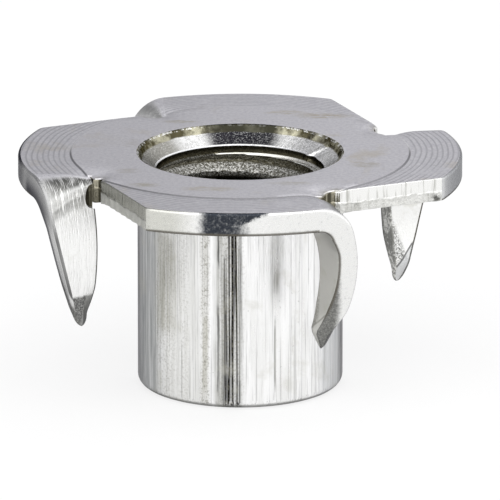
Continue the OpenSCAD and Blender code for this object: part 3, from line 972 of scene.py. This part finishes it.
def barrel_finish(tree):
    """Drawn barrel: upright lines, a painted dark reflection near the front with a paler streak beside it,
    painted shade at the sides, smudges.
    """
    fine, broad, short = tuple(tree.use(draw_lines(), Point=tree.point))
    blotch, speck = tree.stains()[1:]
    colour = tree.blend(tree.ease(broad, 0.35, 0.65), (0.88, 0.88, 0.87), 1.0)
    colour = tree.lay(colour, 0.42, tree.ease(fine, 0.56, 0.64), 0.5)
    colour = tree.streaked(colour, BARREL_STREAKS, tree.ease(fine, 0.35, 0.6, 0.5, 1.0))
    # scratches: faint ones all round, black and bright ones in the painted dark reflection near the front
    scratch = tree.noise(tree.squeezed(0.010), 15.0, 1.0, 0.5)
    barrel_front_reflection = tree.streak(-4.5, 5.5, 1.5)
    colour = tree.lay(colour, 0.36, tree.ease(scratch, 0.62, 0.65), 0.40)
    colour = tree.lay(colour, 0.008, tree.ease(scratch, 0.50, 0.51), barrel_front_reflection)
    colour = tree.lay(colour, (0.75, 0.75, 0.73), tree.fade(scratch, 0.40, 0.42), barrel_front_reflection, 0.7)
    stipple = tree.ease(tree.noise(tree.point, 9.0, 5.0, 0.85), 0.50, 0.60)
    colour = tree.streaked(colour, BARREL_STIPPLE, stipple)
    # painted shade at the lower edge and under the flange
    ends = tree.math("ADD", tree.fade(tree.depth, -11.45, -11.3), tree.ease(tree.depth, -1.65, -1.5))
    colour = tree.lay(colour, (0.16, 0.16, 0.15), ends, 0.7)
    colour = tree.lay(colour, (0.55, 0.54, 0.47), blotch, 0.3)
    colour = tree.lay(colour, (0.30, 0.30, 0.27), speck, 0.5)
    return colour, tree.scaled(broad, 0.25, 0.18), tree.scaled(fine, 0.03, tree.times(short, 0.012))


def mouth_finish(tree):
    """Lip, flare and relief: olive in the corners, bright on the flare."""
    mottle = tree.stains(1.1)[0]
    depth = tree.depth
    # flare: bright, with a painted dark reflection at the back, duller on the left, and a painted highlight
    # along its lower edge
    grain = tree.ease(tree.noise(tree.point, 13.0, 3.0, 0.7), 0.50, 0.68)
    dark = tree.ease(tree.scaled(mottle, 0.9, tree.streak(178, 25, 8)), 0.50, 1.30)
    dull = tree.ease(tree.scaled(mottle, 0.9, tree.streak(-112, 30, 12)), 0.60, 1.40, 0.0, 0.75)
    colour = tree.blend(tree.ease(mottle, 0.35, 0.6), (0.66, 0.66, 0.64), (0.99, 0.99, 0.98))
    colour = tree.lay(colour, tree.blend(grain, (0.02, 0.02, 0.025), 0.32), dark)
    colour = tree.lay(colour, tree.blend(grain, (0.20, 0.19, 0.15), (0.62, 0.61, 0.56)), dull)
    colour = tree.lay(colour, 1.0, tree.zone(depth, -0.86, -0.84, -0.81, -0.78))
    # lip: dark olive, blotched along its length, with a bright burr at its upper edge
    along = tree.noise(tree.point, 0.6, 4.0, 0.65)
    burr = tree.ease(tree.noise(tree.point, 3.5, 4.0, 0.8), 0.50, 0.58)
    lip = tree.blend(tree.ease(along, 0.45, 0.60), (0.09, 0.08, 0.045), (0.50, 0.48, 0.36))
    lip = tree.lay(lip, (0.95, 0.95, 0.92), tree.ease(depth, -0.10, -0.07), burr)
    # the painted dark reflection at the back darkens the lip too
    lip = tree.lay(lip, (0.03, 0.03, 0.022), dark, 0.9)
    colour = tree.lay(colour, lip, tree.ease(tree.scaled(along, 0.12, depth), -0.32, -0.26))
    # relief: painted shade, nearly black, under the flare, olive lower down, with a painted highlight along
    # its foot
    relief = tree.blend(tree.ease(depth, -1.2, -0.95), (0.34, 0.31, 0.21), (0.05, 0.045, 0.03))
    relief = tree.lay(relief, (0.12, 0.11, 0.08), tree.ease(mottle, 0.55, 0.65))
    relief = tree.lay(relief, (0.80, 0.79, 0.74), tree.fade(depth, -1.22, -1.19))
    colour = tree.lay(colour, relief, tree.fade(depth, -0.88, -0.83))
    colour = tree.marked(colour, MOUTH_MARKS)
    return colour, tree.scaled(mottle, 0.2, 0.15), tree.times(mottle, 0.02)


def thread_finish(tree):
    """Cut thread: bright speckled flanks and olive brown roots, with a painted highlight along its top and
    painted shade further down.
    """
    mottle = tree.stains()[0]
    speckle = tree.ease(tree.noise(tree.point, 10.0, 3.0, 0.7), 0.42, 0.62)
    colour = tree.blend(speckle, (0.14, 0.135, 0.11), (0.85, 0.85, 0.82))
    # painted highlight along the shoulder at the thread's top
    colour = tree.lay(colour, (0.9, 0.9, 0.87), tree.ease(tree.depth, -1.45, -1.36), 0.8)
    colour = tree.lay(colour, (0.10, 0.09, 0.055), tree.ease(tree.radius, 3.9, 4.02), 0.85)
    # painted shade deeper in the bore
    colour = tree.lay(colour, (0.06, 0.055, 0.04), tree.fade(tree.depth, -2.3, -1.8), 0.85)
    return colour, tree.scaled(mottle, 0.25, 0.15), tree.times(mottle, 0.05)


def rim_finish(tree):
    """Rim of the lobes: smooth and bright, with a painted dark reflection in front and painted shade along
    its lower edge.
    """
    mottle = tree.stains(0.9)[0]
    angle, depth = tree.angle, tree.depth
    colour = tree.blend(mottle, (0.74, 0.74, 0.71), 0.98)
    colour = tree.streaked(colour, RIM_STREAKS)
    # the painted dark reflection in front, whose right side slants: it narrows downwards
    above = tree.math("SUBTRACT", depth, tree.scaled(angle, 0.085, -0.72))
    above = tree.ease(tree.scaled(mottle, 0.5, above), 0.15, 0.45)
    wedge = tree.times(tree.zone(angle, -12, -8, 7, 11), above)
    rim_front_reflection = tree.math("MAXIMUM", tree.times(tree.streak(-4.2, 6.2, 3), 0.9), wedge)
    rim_front_reflection = tree.ease(tree.scaled(mottle, 1.5, rim_front_reflection), 0.70, 1.80)
    grain = tree.ease(tree.noise(tree.point, 9.0, 4.0, 0.75), 0.55, 0.80)
    colour = tree.lay(colour, tree.blend(grain, (0.035, 0.04, 0.05), (0.36, 0.37, 0.39)), rim_front_reflection)
    flecks = tree.times(tree.ease(mottle, 0.60, 0.68), tree.ease(angle, -28, -8, 1.0, 0.2))
    colour = tree.lay(colour, (0.18, 0.17, 0.12), flecks, 0.6)
    # the left claw's outer wall: painted shade, nearly black towards the outer edge higher up; lower down a
    # light strip, with painted shade at the outer edge and a crack beside it
    deep = tree.flat()[1]
    left, down = tree.zone(angle, -76, -72, -58, -54), tree.fade(depth, -3.0, -1.5)
    shade = tree.blend(tree.ease(deep, 0.1, 1.0), 0.36, (0.04, 0.04, 0.05))
    strip = tree.blend(tree.ease(deep, 0.55, 0.90), (0.74, 0.74, 0.73), (0.12, 0.12, 0.13))
    colour = tree.lay(colour, tree.blend(down, shade, strip), left, 0.9)
    colour = tree.lay(colour, 0.05, tree.fade(deep, 0.07, 0.14), down, left, 0.85)
    # the torn lower part, which widens down the claws, and painted shade along the wall's lower edge
    width = tree.ease(depth, -8.2, -3.0, 1.2, -0.1)
    torn = tree.math("ADD", deep, tree.scaled(tree.noise(tree.point, 5.0, 4.0, 0.8), 0.5, width))
    fine = tree.ease(tree.noise(tree.point, 11.0, 4.0, 0.75), 0.40, 0.70)
    tone = tree.blend(fine, (0.07, 0.07, 0.065), (0.27, 0.27, 0.25))
    colour = tree.lay(colour, tone, tree.ease(torn, 1.12, 1.58), 0.9)
    colour = tree.lay(colour, (0.12, 0.11, 0.09), tree.ease(deep, 1.03, 1.12), 0.85)
    return colour, tree.scaled(mottle, 0.2, 0.18), tree.times(mottle, 0.02)


def sheared_finish(tree):
    """Sheared face: upright marks in the smooth upper part and a torn lower part."""
    marks = tree.noise(tree.squeezed(0.08), 4.0, 3.0, 0.65)
    torn = tree.scaled(tree.noise(tree.point, 1.6, 3.0, 0.6), 0.3, tree.depth)
    torn = tree.fade(torn, -0.62, -0.50)
    colour = tree.blend(tree.ease(marks, 0.34, 0.50), (0.55, 0.55, 0.52), (0.90, 0.90, 0.88))
    # painted shade on the sheared faces on the left
    colour = tree.lay(colour, (0.31, 0.31, 0.275), tree.zone(tree.angle, -62, -58, -24, -20), 0.88)
    colour = tree.lay(colour, (0.70, 0.70, 0.67), torn, 0.5)
    colour = tree.marked(colour, SHEARED_MARKS)
    colour = tree.lay(colour, hollow_tone(tree), tree.fade(tree.flat()[0], 1.22, 1.34))
    rough = tree.times(torn, tree.noise(tree.point, 7.0, 4.0, 0.7), 0.12)
    return colour, tree.scaled(torn, 0.25, 0.25), tree.scaled(marks, 0.05, rough)


def claw_face_finish(tree):
    """Outer face of a claw: bright, with the lobe's ring marks drawn dark over the fold in bands of painted
    dark reflection.
    """
    mottle, blotch = tree.stains(1.8)[:2]
    across, run = tree.flat()
    colour = tree.blend(mottle, (0.92, 0.92, 0.90), 1.0)
    colour = tree.lay(colour, (0.62, 0.62, 0.55), blotch, 0.25)
    colour = tree.lay(colour, pressed_grey(tree, mottle), tree.fade(run, 0.2, 1.2))
    # painted grey reflection over the fold
    colour = tree.lay(colour, (0.45, 0.45, 0.44), tree.zone(run, 0.4, 1.0, 1.1, 2.1), 0.8)
    # strokes along the claw, in three bands of painted dark reflection down the fold, strongest on the left
    # claw
    strokes = tree.ease(tree.noise(tree.flat((13, 0.7, 0)), 1.0, 2.0, 0.6), 0.40, 0.51)
    inner = tree.ease(across, 9.9, 10.7, 1.0, 0.5)
    dark = tree.times(tree.zone(run, 0.45, 0.95, 1.5, 2.1), inner, 0.85)
    dark = tree.scaled(tree.zone(run, 1.4, 2.0, 2.3, 2.9), 0.42, dark)
    dark = tree.scaled(tree.zone(run, 2.45, 2.65, 2.85, 3.2), 0.45, dark)
    here = tree.scaled(tree.zone(tree.angle, -92, -84, -50, -40), 0.75, 0.25)
    colour = tree.lay(colour, (0.04, 0.04, 0.035), dark, here, tree.scaled(strokes, 0.85, 0.15))
    # the point's two facets: a grey one and a speckled one
    grit = tree.ease(tree.noise(tree.point, 16.0, 4.0, 0.8), 0.40, 0.70)
    speckled = tree.blend(grit, 0.03, (0.50, 0.50, 0.48))
    facets = tree.blend(tree.ease(across, 8.68, 8.80), (0.32, 0.32, 0.31), speckled)
    colour = tree.lay(colour, facets, tree.ease(tree.scaled(mottle, 0.4, run), 7.3, 7.5), 0.95)
    return colour, tree.scaled(mottle, 0.2, 0.2), tree.scaled(mottle, 0.02, tree.times(strokes, 0.008))


def claw_edge_finish(tree):
    """Inner edge of a claw, where it was torn free: dark speckle on a light ground."""
    grit = tree.noise(tree.point, 6.0, 4.0, 0.75)
    dark = tree.scaled(tree.noise(tree.point, 0.8, 2.0, 0.5), 0.5, grit)
    run, deep = tree.flat()
    ground = tree.blend(tree.ease(deep, 0.10, 0.45), (0.20, 0.20, 0.19), (0.80, 0.80, 0.77))
    colour = tree.lay(ground, (0.12, 0.12, 0.11), tree.ease(dark, 0.62, 0.80), 0.75)
    colour = tree.lay(colour, hollow_tone(tree), tree.fade(run, 2.9, 3.1))
    return colour, tree.scaled(grit, 0.2, 0.3), tree.times(grit, 0.08)


def claw_back_finish(tree):
    """Inner face of a claw: a little greyer and more olive than the outer one."""
    mottle, blotch = tree.stains(1.8)[:2]
    across, run = tree.flat()
    colour = tree.blend(mottle, (0.78, 0.78, 0.76), (0.97, 0.97, 0.96))
    # dark speckle above the point, on the inner side of a slanting line
    off = tree.math("SUBTRACT", across, tree.scaled(run, 0.30, 6.57))
    side = tree.times(tree.fade(off, -0.15, 0.15), tree.ease(run, 4.8, 6.0))
    grit = tree.ease(tree.noise(tree.point, 11.0, 5.0, 0.85), 0.44, 0.56)
    colour = tree.lay(colour, (0.08, 0.08, 0.075), side, tree.ease(run, 8.0, 8.4, 1.0, 0.3), grit, 0.9)
    # a grey facet at the point, outside a dark slanting line
    beyond = tree.math("SUBTRACT", across, tree.scaled(run, -0.80, 15.21))
    low = tree.ease(run, 7.15, 7.35)
    colour = tree.lay(colour, (0.55, 0.56, 0.57), tree.ease(beyond, 0.0, 0.06), low, 0.6)
    colour = tree.lay(colour, 0.08, tree.fade(tree.math("ABSOLUTE", beyond), 0.03, 0.08), low, 0.85)
    # the front claw is duller
    colour = tree.lay(colour, (0.52, 0.51, 0.46), tree.zone(tree.angle, 5, 15, 60, 75), 0.62)
    colour = tree.lay(colour, (0.50, 0.49, 0.40), blotch, 0.3)
    return colour, tree.scaled(mottle, 0.2, 0.25), tree.times(mottle, 0.02)


def under_finish(tree):
    """Underside of the flange: plain grey with faint stains."""
    mottle, blotch = tree.stains()[:2]
    colour = tree.lay(tree.blend(mottle, 0.62, 0.88), (0.55, 0.52, 0.42), blotch, 0.5)
    return colour, tree.scaled(mottle, 0.2, 0.3), tree.times(mottle, 0.02)


FINISHES = (
    ("zinc_top", top_finish),
    ("zinc_mouth", mouth_finish),
    ("zinc_thread", thread_finish),
    ("zinc_barrel", barrel_finish),
    ("zinc_rim", rim_finish),
    ("zinc_sheared", sheared_finish),
    ("zinc_claw_face", claw_face_finish),
    ("zinc_claw_edge", claw_edge_finish),
    ("zinc_claw_back", claw_back_finish),
    ("zinc_under", under_finish),
)

# ---------------------------------------------------------------- studio

FLOOR_HALF = 3.0         # metres from the floor's middle to its edge
CAMERA_REACH = 10        # metres
FLOOR_WHITE = 0.75       # share of plain white in the floor, as the eye and mirrors see it
LAMP_AIM = Vector((0, 0, 0.006))
LAMPS = (                # name, place in metres, power in watts and size in metres
    ("key", (-0.30, -0.25, 0.45), 4.0, 1.2),
    ("fill", (0.40, -0.10, 0.35), 2.0, 1.0),
)
NEAR, OVERHEAD, FAR = 0.9, (0.28, 0.28, 0.30), (0.72, 0.72, 0.74)    # tones of the studio's light


def floor_paint(shade):
    """Pale floor: for what the eye and mirrors see, mostly plain white, with the shadow kept."""
    material = bpy.data.materials.new("floor")
    material.use_nodes = True
    material.node_tree.nodes.clear()
    tree = Tree(material.node_tree)
    path = tree.node("ShaderNodeLightPath")
    seen = tree.math("ADD", path["Is Camera Ray"], path["Is Glossy Ray"])
    seen = tree.times(tree.math("ADD", seen, path["Is Transmission Ray"]), FLOOR_WHITE)
    diffuse = tree.node("ShaderNodeBsdfDiffuse", {"Color": (*shade, 1)})[0]
    white = tree.node("ShaderNodeEmission")[0]
    mix = tree.node("ShaderNodeMixShader", {0: seen, 1: diffuse, 2: white})[0]
    tree.node("ShaderNodeOutputMaterial", {"Surface": mix})
    return material


def studio_world(turn):
    """Studio light: white where it meets the floor and on the near side, grey on the far side,
    and darker overhead."""
    world = bpy.data.worlds.new("studio")
    world.use_nodes = True
    tree = Tree(world.node_tree)
    away, up = tree.split(tree.rotated(tree.node("ShaderNodeTexCoord")["Generated"], turn))[1:]
    colour = tree.blend(tree.ease(away, -0.35, 0.25), NEAR, OVERHEAD)
    colour = tree.blend(tree.ease(away, 0.40, 0.75), colour, FAR)
    colour = tree.blend(tree.ease(up, 0.06, 0.20), 1.0, colour)
    tree.tree.links.new(colour, world.node_tree.nodes["Background"].inputs["Color"])
    return world


# ---------------------------------------------------------------- operators


def placed(name, data, scene):
    """A new object that holds data, linked into the scene."""
    made = bpy.data.objects.new(name, data)
    scene.collection.objects.link(made)
    return made


def pointed(thing, place, aim):
    """Puts a camera or a lamp at a place, looking at aim."""
    thing.location = place
    thing.rotation_euler = (aim - Vector(place)).to_track_quat("-Z", "Y").to_euler()


class TEENUT_OT_nut(bpy.types.Operator):
    """Builds the whole nut as one closed skin"""

    bl_idname = "teenut.nut"
    bl_label = "Nut"

    def execute(self, context):
        sizes = context.scene.tee_nut_sizes
        mesh = Nut(sizes).skin().mesh("nut", sizes.height)
        for name, finish in FINISHES:
            mesh.materials.append(steel(name, finish))
        nut = placed("nut", mesh, context.scene)
        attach(nut, "root")
        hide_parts("tee_nut")
        return {"FINISHED"}


class TEENUT_OT_stage(bpy.types.Operator):
    """Sets the floor, the lamps, the world and the camera"""

    bl_idname = "teenut.stage"
    bl_label = "Stage"

    def execute(self, context):
        scene = context.scene
        studio = scene.tee_nut_studio
        scene.view_settings.view_transform = "Standard"
        # camera
        e, t = studio.elevation, studio.turn
        back = Vector((-math.sin(t) * math.cos(e), -math.cos(t) * math.cos(e), math.sin(e)))
        right = Vector((math.cos(t), -math.sin(t), 0))
        middle = Vector((0, 0, scene.tee_nut_sizes.height))
        aim = middle + right * studio.aim_right - back.cross(right) * studio.aim_down
        camera = placed("camera", bpy.data.cameras.new("camera"), scene)
        camera.data.lens = studio.lens
        camera.data.clip_end = CAMERA_REACH
        pointed(camera, middle + back * studio.distance, aim)
        scene.camera = camera
        # floor
        mesh = bpy.data.meshes.new("floor")
        corners = [(x * FLOOR_HALF, y * FLOOR_HALF, 0) for x, y in ((-1, -1), (1, -1), (1, 1), (-1, 1))]
        mesh.from_pydata(corners, [], [(0, 1, 2, 3)])
        mesh.materials.append(floor_paint(studio.floor))
        floor = placed("floor", mesh, scene)
        # light
        scene.world = studio_world(t)
        for name, place, power, size in LAMPS:
            light = bpy.data.lights.new(name, "AREA")
            light.energy = power
            light.size = size
            pointed(placed(name, light, scene), place, LAMP_AIM)
        return {"FINISHED"}


class TEENUT_PT_panel(bpy.types.Panel):
    """The nut's sizes and the buttons that build it"""

    bl_label = "Tee nut"
    bl_idname = "TEENUT_PT_panel"
    bl_space_type = "VIEW_3D"
    bl_region_type = "UI"
    bl_category = "Tee nut"

    def draw(self, context):
        layout = self.layout
        for group in (context.scene.tee_nut_sizes, context.scene.tee_nut_studio):
            for name in group.__annotations__:
                layout.prop(group, name)
        layout.operator(TEENUT_OT_nut.bl_idname)
        layout.operator(TEENUT_OT_stage.bl_idname)


CLASSES = (TeeNutSizes, StudioSettings, TEENUT_OT_nut, TEENUT_OT_stage, TEENUT_PT_panel)


def register():
    for cls in CLASSES:
        bpy.utils.register_class(cls)
    bpy.types.Scene.tee_nut_sizes = PointerProperty(type=TeeNutSizes)
    bpy.types.Scene.tee_nut_studio = PointerProperty(type=StudioSettings)


def unregister():
    del bpy.types.Scene.tee_nut_studio
    del bpy.types.Scene.tee_nut_sizes
    for cls in reversed(CLASSES):
        bpy.utils.unregister_class(cls)


def main():
    register()
    bpy.ops.teenut.nut()
    bpy.ops.teenut.stage()


if __name__ == "__main__":
    main()
